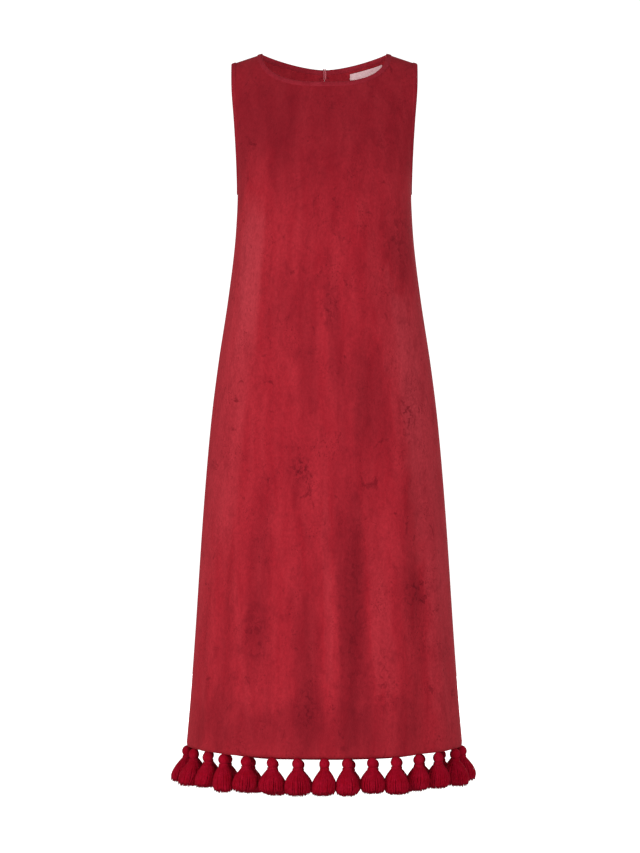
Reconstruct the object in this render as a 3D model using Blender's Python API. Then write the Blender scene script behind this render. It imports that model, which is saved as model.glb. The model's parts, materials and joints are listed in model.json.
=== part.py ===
"""Sleeveless A-line dress in velour towelling, worn form with no wearer, with tassels round the hem.

Run it with blender --background --python part.py, or from the text editor. Sizes are in millimetres, turned
into metres when a mesh is made. X is the viewer's right, -Y the front and +Z up. The origin is midway between
the shoulders, under the shoulder seams, where the wearer carries the dress.
"""

import math
from collections import namedtuple

import bmesh
import bpy
from mathutils import Matrix, Vector
from mathutils.bvhtree import BVHTree

MM = 0.001

FRONT = -1
BACK = 1
LEFT = -1
RIGHT = 1

# Cloth
WALL = 2.2
SEAM_GAP = 0.3
# The panels are cut in one from shoulder to hem. Each is two solids, met at the underarm, for its curves.
LEVEL_GAP = 0.6

# Shoulders and neck
NECK_HALF_WIDTH = 104.0
NECK_POINT_HEIGHT = 10.4
SHOULDER_HALF_WIDTH = 152.5
SHOULDER_TIP_HEIGHT = -5.9
RIDGE_ROUNDING = 50.0
FRONT_NECK_HEIGHT = -41.9
FRONT_NECK_POWER = 2.9
BACK_NECK_HEIGHT = -12.0
BACK_NECK_POWER = 1.6
FRONT_SHOULDER_CURVE = 7.8
BACK_SHOULDER_CURVE = 7.1
CURVE_TO_DEPTH_SHARPNESS = 10

# Armholes, an oval from the side
UNDERARM_HEIGHT = -213.0
MOST_EDGE_SHARE = 0.97
BELOW_TIP = 0.5
FRONT_ARMHOLE_DEPTH = 46.0
BACK_ARMHOLE_DEPTH = 48.0

# Hem heights
SIDE_HEM_HEIGHT = -1129.0
FRONT_HEM_HEIGHT = -1138.0
BACK_HEM_HEIGHT = -1165.0
HEM_CURVE_POWER = 3

# Slit at the centre back
SLIT_LENGTH = 125.0
SLIT_HALF_GAP = 0.8
SLIT_LEAF_TURN = math.radians(130)

# Bindings, one folded strip over a raw edge
BINDING_WIDTH = 7.5
BINDING_CLOTH = 1.2
BINDING_CLEARANCE = 1.0
EDGE_CLEARANCE = 0.8
NECK_POINT_CLEARANCE = 3.2

# Facings beside the slit
FACING_WIDTH = 6.6
FACING_CLOTH = 1.0
FACING_TOP_DROP = 10.5
FACING_BELOW_SLIT = 8.0
PATCH_CLEARANCE = 0.9
FACING_COLUMNS = 1
FACING_ROWS = 10

# Button, loop and label
BUTTON_RADIUS = 5.0
BUTTON_THICKNESS = 2.6
SHANK_RADIUS = 1.2
SHANK_LENGTH = 2.8
BUTTON_DROP = 5.5
BUTTON_ACROSS = 4.2
BUTTON_SIDES = 16
LOOP_CORD_RADIUS = 0.8
LOOP_POINTS = 8
LOOP_HALF_TURN = 110
LOOP_ROOT = 5.6
LOOP_BEVEL_RESOLUTION = 1
LABEL_FIRST_X = 43.0
LABEL_LAST_X = 96.0
LABEL_TOP_DROP = 10.0
LABEL_HEIGHT = 13.0
LABEL_CLOTH = 0.8
LABEL_COLUMNS = 8
LABEL_ROWS = 2

# Tassels
TASSEL_COUNT = 28
TASSEL_LENGTH = 61.0
TASSEL_LENGTH_SPREAD = 2.0
TASSEL_UNEVENNESS = 2.4
TASSEL_TIE_HEIGHT = -17.0
TASSEL_TIE_RADIUS = 6.4
TASSEL_SKIRT_RADIUS = 20.4
TASSEL_LOCKS = 6
TASSEL_HEM_GAP = 0.8
LOCK_PARTING = 0.35

# The head above the tie, ring by ring, and the locks below it as shares of the skirt
HeadRing = namedtuple("HeadRing", "height radius")
HEAD_RINGS = (
    HeadRing(-12.5, 8.4),
    HeadRing(-5.0, 8.2),
    HeadRing(-0.6, 4.4),
    HeadRing(0.0, 1.4),
)
LockRing = namedtuple("LockRing", "fall spread")
LOCK_RINGS = (
    LockRing(0.62, 1.0),
    LockRing(1.0, 0.9),
)

# Mesh fineness
COLUMNS_PER_HALF = 16
NECK_COLUMNS = 8
NECK_CROWDING = 1.8
ARMHOLE_ROWS = 14
SKIRT_ROWS = 16
HEM_ROW = ARMHOLE_ROWS + SKIRT_ROWS
WHOLE = (-COLUMNS_PER_HALF, COLUMNS_PER_HALF)
WELD = 0.001
NORMAL_STEP = 0.5
INWARD_STEP = 0.3
SHARP_ANGLE = math.radians(50)

# Level sections: depth below the shoulders, half breadth, furthest front and back, squareness of the curve
Section = namedtuple("Section", "drop half_breadth front back squareness")
SECTIONS = (
    Section(0, 152.5, 134, 105, 2.6),
    Section(50, 151.6, 134, 105, 2.9),
    Section(100, 148.0, 135, 104, 3.0),
    Section(150, 145.0, 135, 103, 2.9),
    Section(205, 143.2, 135, 101, 2.7),
    Section(245, 143.8, 134, 99, 2.5),
    Section(310, 148.3, 132, 97, 2.35),
    Section(400, 159.7, 130, 97, 2.25),
    Section(500, 175.0, 129, 103, 2.2),
    Section(600, 187.4, 129, 111, 2.15),
    Section(750, 200.2, 131, 117, 2.1),
    Section(950, 213.5, 136, 123, 2.1),
    Section(1060, 221.6, 140, 126, 2.1),
    Section(1130, 227.7, 142, 128, 2.1),
    Section(1170, 230.5, 143, 129, 2.1),
)

# Long soft folds: side, first and last depth below the shoulders, bearing from the centre line at each, in
# degrees to the viewer's right, half width and rise, which is negative in a trough
Fold = namedtuple("Fold", "side first last first_angle last_angle width rise")
FOLDS = (
    Fold(FRONT, 520, 1300, -42, -39, 26, 5.0),
    Fold(FRONT, 580, 1300, -29, -26, 22, -4.0),
    Fold(FRONT, 780, 1300, -13, -11, 18, 4.0),
    Fold(FRONT, 760, 1300, -4, -3, 16, -3.0),
    Fold(FRONT, 330, 1300, 19, 3.5, 20, 4.5),
    Fold(FRONT, 640, 1300, 18, 12, 20, -4.0),
    Fold(FRONT, 480, 1300, 43, 29, 28, 5.0),
    Fold(FRONT, 560, 1300, 54, 42, 20, -4.0),
    Fold(FRONT, 330, 720, -18, -13, 17, 2.5),
    Fold(FRONT, 700, 1300, 62, 58, 20, 3.0),
    Fold(FRONT, 700, 1300, -60, -58, 20, 3.0),
    Fold(BACK, 430, 1300, -38, -45, 26, 5.0),
    Fold(BACK, 520, 1300, -24, -28, 22, -4.5),
    Fold(BACK, 360, 1300, -9, -13, 20, 4.5),
    Fold(BACK, 600, 1300, 3, 3, 20, -4.0),
    Fold(BACK, 450, 1300, 15, 19, 22, 5.0),
    Fold(BACK, 640, 1300, 31, 33, 22, -4.0),
    Fold(BACK, 500, 1300, 44, 50, 26, 5.0),
)
FOLD_RAMP = 260.0
FOLDS_END_ANGLE = 84
FOLDS_FADE_ANGLE = 66

# Tassels that stand off their even places round the hem: number, counted from the centre front to the
# viewer's right, and the shift along the hem
TasselShift = namedtuple("TasselShift", "number shift")
TASSEL_SHIFTS = (
    TasselShift(2, -5.0),
    TasselShift(3, -6.0),
    TasselShift(4, -9.0),
    TasselShift(5, -8.0),
    TasselShift(6, -12.0),
    TasselShift(7, -7.5),
    TasselShift(8, -5.0),
    TasselShift(9, -2.0),
    TasselShift(11, 1.5),
    TasselShift(14, -2.0),
    TasselShift(17, 2.5),
    TasselShift(20, -1.5),
    TasselShift(22, 4.0),
    TasselShift(23, 7.5),
    TasselShift(24, 6.0),
    TasselShift(25, -3.4),
    TasselShift(26, -4.0),
    TasselShift(27, -2.4),
    TasselShift(28, -2.0),
)

Paint = namedtuple("Paint", "name color roughness metallic")
VELOUR = Paint("red_velour_towelling", (0.31, 0.022, 0.032, 1.0), 0.95, 0.0)
BINDING = Paint("red_bias_binding", (0.34, 0.026, 0.036, 1.0), 0.9, 0.0)
YARN = Paint("crimson_tassel_yarn", (0.26, 0.006, 0.016, 1.0), 0.85, 0.0)
LABEL = Paint("pale_pink_satin_ribbon", (0.62, 0.25, 0.29, 1.0), 0.5, 0.0)
BUTTON = Paint("rose_polyester_button", (0.38, 0.06, 0.08, 1.0), 0.35, 0.0)


def column_value(rows, column, drop):
    """The smooth value of a table's column at a depth below the shoulders."""
    drop = min(max(drop, rows[0].drop), rows[-1].drop)
    k = 0
    while k < len(rows) - 2 and drop > rows[k + 1].drop:
        k += 1
    values = [getattr(row, column) for row in rows]
    places = [row.drop for row in rows]

    def slope(i):
        low = max(i - 1, 0)
        high = min(i + 1, len(rows) - 1)
        return (values[high] - values[low]) / (places[high] - places[low])

    span = places[k + 1] - places[k]
    u = (drop - places[k]) / span
    return (
        values[k] * (1 - 3 * u * u + 2 * u ** 3)
        + values[k + 1] * (3 * u * u - 2 * u ** 3)
        + slope(k) * span * (u - 2 * u * u + u ** 3)
        + slope(k + 1) * span * (u ** 3 - u * u)
    )


def smooth_step(low, high, value):
    """0 below low, 1 above high and a smooth rise between."""
    u = min(max((value - low) / (high - low), 0.0), 1.0)
    return u * u * (3 - 2 * u)


def ridge_height(x):
    """Height of the line where front and back meet, carried on over the neck."""
    neck = math.hypot(NECK_HALF_WIDTH, RIDGE_ROUNDING)
    tip = math.hypot(SHOULDER_HALF_WIDTH, RIDGE_ROUNDING)
    slope = (NECK_POINT_HEIGHT - SHOULDER_TIP_HEIGHT) / (tip - neck)
    return NECK_POINT_HEIGHT + slope * (neck - math.hypot(x, RIDGE_ROUNDING))


def full_depth(side, x, height):
    """How far the cloth stands off the plane of the seams before the section's curve takes it back."""
    curve = FRONT_SHOULDER_CURVE if side == FRONT else BACK_SHOULDER_CURVE
    below = max(ridge_height(x) - height, 0.0)
    shoulder = max(curve * math.sqrt(below), 1e-6)
    body = column_value(SECTIONS, "front" if side == FRONT else "back", -height)
    power = CURVE_TO_DEPTH_SHARPNESS
    return (shoulder ** -power + body ** -power) ** (-1 / power)


def armhole_depth(side, height):
    """How far the armhole's edge lies from the plane of the seams, 0 at the shoulder and underarm."""
    middle = (SHOULDER_TIP_HEIGHT + UNDERARM_HEIGHT) / 2
    reach = (SHOULDER_TIP_HEIGHT - UNDERARM_HEIGHT) / 2
    depth = FRONT_ARMHOLE_DEPTH if side == FRONT else BACK_ARMHOLE_DEPTH
    return depth * math.sqrt(max(1 - ((height - middle) / reach) ** 2, 0.0))


def edge_share(side, height):
    """The part of the full depth that the armhole's edge keeps, 0 from the underarm down."""
    height = min(height, SHOULDER_TIP_HEIGHT - BELOW_TIP)
    if height <= UNDERARM_HEIGHT:
        return 0.0
    half = column_value(SECTIONS, "half_breadth", -height)
    return min(armhole_depth(side, height) / full_depth(side, half, height), MOST_EDGE_SHARE)


def fold_rise(side, angle, drop, half_breadth):
    """How far the folds lift the cloth at a bearing and a depth below the shoulders."""
    rise = 0.0
    for fold in FOLDS:
        if fold.side != side or drop < fold.first:
            continue
        along = (drop - fold.first) / (fold.last - fold.first)
        middle = fold.first_angle + (fold.last_angle - fold.first_angle) * min(along, 1.0)
        away = math.radians(angle - middle) * half_breadth / fold.width
        grown = smooth_step(fold.first, fold.first + FOLD_RAMP, drop)
        fading = 1 - smooth_step(fold.last - FOLD_RAMP, fold.last, drop)
        rise += fold.rise * grown * fading * math.exp(-away * away)
    return rise * (1 - smooth_step(FOLDS_FADE_ANGLE, FOLDS_END_ANGLE, abs(angle)))


def skin(side, share, height):
    """A point of the cloth's outer face: share runs from -1 to 1 between the sides of the dress."""
    half = column_value(SECTIONS, "half_breadth", -height)
    power = column_value(SECTIONS, "squareness", -height)
    x = share * half
    depth = full_depth(side, x, height)
    kept = edge_share(side, height) ** power
    y = depth * max(1 - (1 - kept) * abs(share) ** power, 0.0) ** (1 / power)
    angle = math.degrees(math.asin(max(min(share, 1.0), -1.0)))
    rise = fold_rise(side, angle, -height, half)
    out = Vector((share / half, math.cos(math.radians(angle)) / max(depth, 1.0), 0)).normalized()
    return Vector((x + out.x * rise, side * (y + out.y * rise), height))


def neck_height(side, x):
    """Height of the neck edge."""
    across = min(abs(x) / NECK_HALF_WIDTH, 1.0)
    if side == FRONT:
        fall = math.sqrt(1 - across ** FRONT_NECK_POWER)
        return NECK_POINT_HEIGHT + (FRONT_NECK_HEIGHT - NECK_POINT_HEIGHT) * fall
    fall = 1 - across ** BACK_NECK_POWER
    return NECK_POINT_HEIGHT + (BACK_NECK_HEIGHT - NECK_POINT_HEIGHT) * fall


def hem_height(side, share):
    """Height of the hem edge."""
    centre = FRONT_HEM_HEIGHT if side == FRONT else BACK_HEM_HEIGHT
    return SIDE_HEM_HEIGHT + (centre - SIDE_HEM_HEIGHT) * (1 - abs(share) ** HEM_CURVE_POWER)


def top_x(column):
    """Where a column meets the neck or the shoulder seam: columns crowd towards the neck points."""
    size = abs(column)
    if size <= NECK_COLUMNS:
        left_over = (1 - size / NECK_COLUMNS) ** NECK_CROWDING
        x = NECK_HALF_WIDTH * math.sin(math.pi / 2 * (1 - left_over))
    else:
        along = (size - NECK_COLUMNS) / (COLUMNS_PER_HALF - NECK_COLUMNS)
        x = NECK_HALF_WIDTH + (SHOULDER_HALF_WIDTH - NECK_HALF_WIDTH) * along
    return math.copysign(x, column)


def top_height(side, column):
    """Height of a column's top end, on the neck edge or the shoulder seam."""
    x = top_x(column)
    return neck_height(side, x) if abs(column) < NECK_COLUMNS else ridge_height(x)


def low_share(column):
    """Where a column runs below the underarm: evenly round the section."""
    return math.sin(math.pi / 2 * column / COLUMNS_PER_HALF)


def row_fall(row):
    """The part of a column's length above a row: rows crowd at the shoulder and the underarm."""
    length = SHOULDER_TIP_HEIGHT - SIDE_HEM_HEIGHT
    armhole = SHOULDER_TIP_HEIGHT - UNDERARM_HEIGHT
    if row <= ARMHOLE_ROWS:
        return armhole * (1 - math.cos(math.pi * row / ARMHOLE_ROWS)) / 2 / length
    return (armhole + (length - armhole) * (row - ARMHOLE_ROWS) / SKIRT_ROWS) / length


def panel_point(side, column, fall):
    """The outer point of a column at a part of its length below its top."""
    top = top_height(side, column)
    bottom = hem_height(side, low_share(column))
    height = top + (bottom - top) * fall
    side_height = SHOULDER_TIP_HEIGHT + (SIDE_HEM_HEIGHT - SHOULDER_TIP_HEIGHT) * fall
    gather = edge_share(side, side_height) / edge_share(side, SHOULDER_TIP_HEIGHT)
    share = low_share(column) * (1 - gather) + top_x(column) / SHOULDER_HALF_WIDTH * gather
    return skin(side, share, height)


def skin_at(side, x, height):
    """The outer point of the cloth in front of or behind a place in the plane of the seams."""
    return skin(side, x / column_value(SECTIONS, "half_breadth", -height), height)


def skin_normal(side, x, height):
    """The cloth's outward direction there."""
    step = NORMAL_STEP
    across = skin_at(side, x + step, height) - skin_at(side, x - step, height)
    up = skin_at(side, x, height + step) - skin_at(side, x, height - step)
    return across.cross(up).normalized() * -side


def slit_half_gap(height):
    """Half the gap between the two backs: a seam's gap, and a slim leaf shape along the slit."""
    above = height - (BACK_NECK_HEIGHT - SLIT_LENGTH)
    if above <= 0:
        return SEAM_GAP / 2
    open_share = math.sin(SLIT_LEAF_TURN * min(above / SLIT_LENGTH, 1.0))
    return SEAM_GAP / 2 + (SLIT_HALF_GAP - SEAM_GAP / 2) * open_share


def material(paint):
    """The Principled material of a paint, made once."""
    found = bpy.data.materials.get(paint.name)
    if found:
        return found
    made = bpy.data.materials.new(paint.name)
    made.use_nodes = True
    shader = made.node_tree.nodes["Principled BSDF"]
    shader.inputs["Base Color"].default_value = paint.color
    shader.inputs["Roughness"].default_value = paint.roughness
    shader.inputs["Metallic"].default_value = paint.metallic
    made.diffuse_color = paint.color
    return made


def grid(across, up):
    """A flat grid of faces, with each vertex's place in it, counted across and up."""
    bm = bmesh.new()
    bmesh.ops.create_grid(bm, x_segments=across, y_segments=up, size=1)
    places = {}
    for v in bm.verts:
        places[v] = (round((v.co.x + 1) / 2 * across), round((v.co.y + 1) / 2 * up))
    return bm, places


def face_outward(bm, side):
    """Turns an open surface so that its middle face looks away from the wearer."""
    bm.normal_update()
    bm.faces.ensure_lookup_table()
    if bm.faces[len(bm.faces) // 2].normal.y * side < 0:
        bmesh.ops.reverse_faces(bm, faces=bm.faces)
    bm.normal_update()


def thicken(bm, thickness):
    """Turns an open surface into a wall, by extruding it inward along its own normals."""
    inner = {v.co.to_tuple(4): v.co - v.normal * thickness for v in bm.verts}
    made = bmesh.ops.extrude_face_region(bm, geom=bm.faces[:])["geom"]
    for v in made:
        if isinstance(v, bmesh.types.BMVert):
            v.co = inner[v.co.to_tuple(4)]


def finish(bm, name, paint, collection):
    """Closes a mesh made in millimetres and links it as an object, in metres."""
    bmesh.ops.remove_doubles(bm, verts=bm.verts, dist=WELD)
    bmesh.ops.recalc_face_normals(bm, faces=bm.faces)
    if bm.calc_volume(signed=True) < 0:
        bmesh.ops.reverse_faces(bm, faces=bm.faces)
    bmesh.ops.scale(bm, vec=Vector((MM, MM, MM)), verts=bm.verts)
    mesh = bpy.data.meshes.new(name)
    bm.to_mesh(mesh)
    bm.free()
    mesh.shade_smooth()
    mesh.set_sharp_from_angle(angle=SHARP_ANGLE)
    mesh.materials.append(material(paint))
    obj = bpy.data.objects.new(name, mesh)
    collection.objects.link(obj)
    return obj


def panel_face(side, columns, rows):
    """The open outer face of a panel between two columns and two rows, counted from the top."""
    first_row, last_row = rows
    bm, places = grid(columns[1] - columns[0], last_row - first_row)
    for v, (across, up) in places.items():
        v.co = panel_point(side, columns[0] + across, row_fall(last_row - up))
        if up == last_row - first_row and first_row > 0:
            v.co.z -= LEVEL_GAP
    face_outward(bm, side)
    return bm


def panel(name, side, columns, rows, collection):
    """One panel as a wall: the open face, thickened inward and trimmed back to its seams."""
    first_column = columns[0]
    bm = panel_face(side, columns, rows)
    thicken(bm, WALL)
    half = RIGHT if first_column >= 0 else LEFT
    for v in bm.verts:
        v.co.y = side * max(v.co.y * side, SEAM_GAP / 2)
        if side == BACK:
            v.co.x = half * max(v.co.x * half, slit_half_gap(v.co.z))
    return finish(bm, name, VELOUR, collection)


def whole_face():
    """Every panel's outer face in one tree, for the strips that are laid on the cloth."""
    corners = []
    faces = []
    for side in (FRONT, BACK):
        bm = panel_face(side, WHOLE, (0, HEM_ROW))
        bm.verts.index_update()
        start = len(corners)
        corners += [v.co.copy() for v in bm.verts]
        faces += [[start + v.index for v in f.verts] for f in bm.faces]
        bm.free()
    return BVHTree.FromPolygons(corners, faces)


def shoulder_normal(half):
    """Straight up from the shoulder seam on one side."""
    fall = NECK_POINT_HEIGHT - SHOULDER_TIP_HEIGHT
    return Vector((half * fall, 0, SHOULDER_HALF_WIDTH - NECK_HALF_WIDTH)).normalized()


def binding_section(face, edge, normal, inward, clearance):
    """The folded strip across an edge: along the outside, round the edge and back along the inside."""
    far = face.find_nearest(edge + inward * BINDING_WIDTH)[0]
    lip = edge - inward * clearance
    brim = lip - inward * BINDING_CLOTH
    outer = BINDING_CLEARANCE
    inner = -WALL - BINDING_CLEARANCE
    return [
        far + normal * (outer + BINDING_CLOTH),
        edge + normal * (outer + BINDING_CLOTH),
        brim + normal * outer,
        brim + normal * inner,
        edge + normal * (inner - BINDING_CLOTH),
        far + normal * (inner - BINDING_CLOTH),
        far + normal * inner,
        lip + normal * inner,
        lip + normal * outer,
        far + normal * outer,
    ]


def binding(name, stops, closed, face, collection):
    """A folded strip along an edge. A stop is an edge point, the outward direction and the fold's clearance."""
    count = len(stops)
    sections = []
    for k, (edge, normal, clearance) in enumerate(stops):
        before = stops[(k - 1) % count if closed else max(k - 1, 0)][0]
        after = stops[(k + 1) % count if closed else min(k + 1, count - 1)][0]
        inward = normal.cross(after - before).normalized()
        sections.append(binding_section(face, edge, normal, inward, clearance))
    if closed:
        sections.append(sections[0])
    points = len(sections[0])
    bm, places = grid(len(sections) - 1, points)
    for v, (across, up) in places.items():
        v.co = sections[across][up % points]
    bmesh.ops.remove_doubles(bm, verts=bm.verts, dist=WELD)
    if not closed:
        bmesh.ops.holes_fill(bm, edges=bm.edges, sides=points)
    return finish(bm, name, BINDING, collection)


def neck_stops():
    """The neck edge from the slit's right side, round the front, to its left side."""
    places = [(BACK, column) for column in range(0, NECK_COLUMNS)]
    places += [(FRONT, column) for column in range(NECK_COLUMNS, -NECK_COLUMNS - 1, -1)]
    places += [(BACK, column) for column in range(1 - NECK_COLUMNS, 1)]
    stops = []
    for k, (side, column) in enumerate(places):
        point = panel_point(side, column, 0.0)
        normal = skin_normal(side, point.x, point.z)
        if abs(column) == NECK_COLUMNS:
            point.y = 0.0
            normal = shoulder_normal(math.copysign(1, column))
        if side == BACK and column == 0:
            point.x = slit_half_gap(point.z) * (RIGHT if k == 0 else LEFT)
        widened = (abs(column) / NECK_COLUMNS) ** 2
        clearance = EDGE_CLEARANCE + (NECK_POINT_CLEARANCE - EDGE_CLEARANCE) * widened
        stops.append((point, normal, clearance))
    return stops


def armhole_stops(half):
    """The armhole's edge, down the front from the shoulder tip and up the back, the other way on the right."""
    column = half * COLUMNS_PER_HALF
    places = [(FRONT, row) for row in range(0, ARMHOLE_ROWS + 1)]
    places += [(BACK, row) for row in range(ARMHOLE_ROWS - 1, 0, -1)]
    stops = []
    for side, row in places:
        point = panel_point(side, column, row_fall(row))
        if row == 0:
            normal = shoulder_normal(half)
        elif row == ARMHOLE_ROWS:
            normal = Vector((half, 0, 0))
        else:
            inner = panel_point(side, column - half * INWARD_STEP, row_fall(row))
            below = panel_point(side, column, row_fall(row + 1))
            above = panel_point(side, column, row_fall(row - 1))
            normal = (point - inner).cross(below - above).normalized()
            normal *= math.copysign(1, normal.x * half)
        stops.append((point, normal, EDGE_CLEARANCE))
    return stops if half == LEFT else stops[::-1]


def inner_patch(name, place, across, up, cloth, paint, collection):
    """A thin piece on a back panel's inner face. place gives x and height for shares across and up it."""
    bm, places = grid(across, up)
    for v, (i, j) in places.items():
        x, height = place(i / across, j / up)
        v.co = skin_at(BACK, x, height) - skin_normal(BACK, x, height) * (WALL + PATCH_CLEARANCE)
    face_outward(bm, BACK)
    thicken(bm, cloth)
    return finish(bm, name, paint, collection)


def slit_facing(name, half, collection):
    """The turned-in strip along one edge of the slit, from under the neck binding to below the slit's end."""
    top = BACK_NECK_HEIGHT - FACING_TOP_DROP
    bottom = BACK_NECK_HEIGHT - SLIT_LENGTH - FACING_BELOW_SLIT

    def place(across, up):
        height = bottom + (top - bottom) * up
        return half * (slit_half_gap(height) + FACING_WIDTH * across), height

    return inner_patch(name, place, FACING_COLUMNS, FACING_ROWS, FACING_CLOTH, VELOUR, collection)


def neck_label(name, collection):
    """The bare label inside the right back neck, just under the binding."""

    def place(across, up):
        x = LABEL_FIRST_X + (LABEL_LAST_X - LABEL_FIRST_X) * across
        return x, neck_height(BACK, x) - LABEL_TOP_DROP - LABEL_HEIGHT * (1 - up)

    return inner_patch(name, place, LABEL_COLUMNS, LABEL_ROWS, LABEL_CLOTH, LABEL, collection)


def closure_frame():
    """The button's own axes: its origin on the cloth beside the slit, its z out from the cloth."""
    height = BACK_NECK_HEIGHT - BUTTON_DROP
    origin = skin_at(BACK, BUTTON_ACROSS, height)
    out = skin_normal(BACK, 0.0, height)
    across = Vector((1, 0, 0))
    up = out.cross(across).normalized()
    turn = Matrix((across, up, out)).transposed().to_4x4()
    return Matrix.Translation(origin) @ turn


def button(name, collection):
    """A flat round button on a shank, standing off the binding."""
    base = BINDING_CLEARANCE + BINDING_CLOTH + SEAM_GAP
    bm = bmesh.new()
    bmesh.ops.create_cone(
        bm,
        cap_ends=True,
        segments=BUTTON_SIDES,
        radius1=BUTTON_RADIUS,
        radius2=BUTTON_RADIUS,
        depth=BUTTON_THICKNESS,
        matrix=Matrix.Translation((0, 0, base + SHANK_LENGTH + BUTTON_THICKNESS / 2)),
    )
    rims = [e for e in bm.edges if abs(e.verts[0].co.z - e.verts[1].co.z) < WELD]
    bmesh.ops.bevel(
        bm, geom=rims, offset=BUTTON_THICKNESS / 4, segments=1, profile=0.5, affect="EDGES", material=-1
    )
    under = [f for f in bm.faces if f.normal.z < -0.9]
    bmesh.ops.inset_individual(bm, faces=under, thickness=BUTTON_RADIUS - BUTTON_THICKNESS / 4 - SHANK_RADIUS)
    shank = bmesh.ops.extrude_discrete_faces(bm, faces=under)["faces"]
    ends = {v for f in shank for v in f.verts}
    bmesh.ops.translate(bm, vec=Vector((0, 0, -SHANK_LENGTH)), verts=list(ends))
    bmesh.ops.transform(bm, matrix=closure_frame(), verts=bm.verts)
    return finish(bm, name, BUTTON, collection)


def button_loop(name, collection):
    """The cord loop from the slit's left edge round the button's shank, a curve with round section."""
    frame = closure_frame()
    lift = BINDING_CLEARANCE + BINDING_CLOTH + SEAM_GAP + LOOP_CORD_RADIUS
    bend = SHANK_RADIUS + SEAM_GAP + LOOP_CORD_RADIUS
    points = []
    for k in range(LOOP_POINTS + 1):
        angle = math.radians(LOOP_HALF_TURN * (1 - 2 * k / LOOP_POINTS))
        points.append(Vector((bend * math.cos(angle), bend * math.sin(angle), lift)))
    root = -BUTTON_ACROSS - SLIT_HALF_GAP - LOOP_ROOT
    points.insert(0, Vector((root, LOOP_CORD_RADIUS + SEAM_GAP / 2, lift)))
    points.append(Vector((root, -LOOP_CORD_RADIUS - SEAM_GAP / 2, lift)))
    curve = bpy.data.curves.new(name, "CURVE")
    curve.dimensions = "3D"
    curve.bevel_depth = LOOP_CORD_RADIUS * MM
    curve.bevel_resolution = LOOP_BEVEL_RESOLUTION
    curve.use_fill_caps = True
    spline = curve.splines.new("POLY")
    spline.points.add(len(points) - 1)
    for target, point in zip(spline.points, points):
        target.co = (*(frame @ point * MM), 1.0)
    curve.materials.append(material(BUTTON))
    obj = bpy.data.objects.new(name, curve)
    collection.objects.link(obj)
    return obj


def hem_loop():
    """The middle of the wall round the hem from the centre front to the viewer's right, with its length."""
    last = COLUMNS_PER_HALF
    points = []
    for side, columns in (
        (FRONT, range(0, last + 1)),
        (BACK, range(last - 1, -last - 1, -1)),
        (FRONT, range(1 - last, 1)),
    ):
        for column in columns:
            point = panel_point(side, column, 1.0)
            inward = Vector((-point.x, -point.y, 0)).normalized()
            points.append(point + inward * WALL / 2)
    lengths = [0.0]
    for before, after in zip(points, points[1:]):
        lengths.append(lengths[-1] + (after - before).length)
    return points, lengths


def hem_place(points, lengths, along):
    """The point of the hem at a length from the centre front."""
    along %= lengths[-1]
    k = 0
    while lengths[k + 1] < along:
        k += 1
    share = (along - lengths[k]) / (lengths[k + 1] - lengths[k])
    return points[k].lerp(points[k + 1], share)


def tassel(name, top, turn, length, skirt_radius, collection):
    """One tassel: a tied ball head, and locks that stand apart below the tie."""
    bm = bmesh.new()
    bmesh.ops.create_circle(bm, cap_ends=True, cap_tris=True, segments=TASSEL_LOCKS, radius=TASSEL_TIE_RADIUS)
    bmesh.ops.translate(bm, vec=Vector((0, 0, TASSEL_TIE_HEIGHT)), verts=bm.verts)
    roots = bm.faces[:]
    edge = [e for e in bm.edges if e.is_boundary]
    radius = TASSEL_TIE_RADIUS
    for ring in HEAD_RINGS:
        made = bmesh.ops.extrude_edge_only(bm, edges=edge)["geom"]
        verts = [g for g in made if isinstance(g, bmesh.types.BMVert)]
        edge = [g for g in made if isinstance(g, bmesh.types.BMEdge) and g.is_boundary]
        bmesh.ops.scale(bm, vec=Vector((ring.radius / radius, ring.radius / radius, 1)), verts=verts)
        for v in verts:
            v.co.z = ring.height
        radius = ring.radius
    bmesh.ops.contextual_create(bm, geom=edge)
    bmesh.ops.inset_individual(bm, faces=roots, thickness=LOCK_PARTING)
    spread = 1.0
    for ring in LOCK_RINGS:
        roots = bmesh.ops.extrude_discrete_faces(bm, faces=roots)["faces"]
        verts = [v for f in roots for v in f.verts]
        factor = ring.spread * skirt_radius / TASSEL_TIE_RADIUS / spread
        spread *= factor
        bmesh.ops.scale(bm, vec=Vector((factor, factor, 1)), verts=verts)
        for v in verts:
            v.co.z = TASSEL_TIE_HEIGHT - (length + TASSEL_TIE_HEIGHT) * ring.fall
    bmesh.ops.rotate(bm, matrix=Matrix.Rotation(turn, 3, "Z"), verts=bm.verts)
    bmesh.ops.translate(bm, vec=top, verts=bm.verts)
    return finish(bm, name, YARN, collection)


def tassels(collection):
    """The row of tassels round the hem, each as wide as its neighbours let it be."""
    points, lengths = hem_loop()
    pitch = lengths[-1] / TASSEL_COUNT
    shifts = {row.number: row.shift for row in TASSEL_SHIFTS}
    tops = []
    for k in range(TASSEL_COUNT):
        top = hem_place(points, lengths, k * pitch + shifts.get(k + 1, 0.0))
        tops.append(top - Vector((0, 0, TASSEL_HEM_GAP)))
    for k, top in enumerate(tops):
        nearest = min((top - tops[k - 1]).length, (top - tops[(k + 1) % TASSEL_COUNT]).length)
        radius = min(TASSEL_SKIRT_RADIUS, (nearest - SEAM_GAP) / 2)
        length = TASSEL_LENGTH + TASSEL_LENGTH_SPREAD * math.sin(TASSEL_UNEVENNESS * k)
        turn = math.atan2(top.y, top.x)
        tassel(f"tassel_{k + 1:02d}", top, turn, length, radius, collection)


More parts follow.
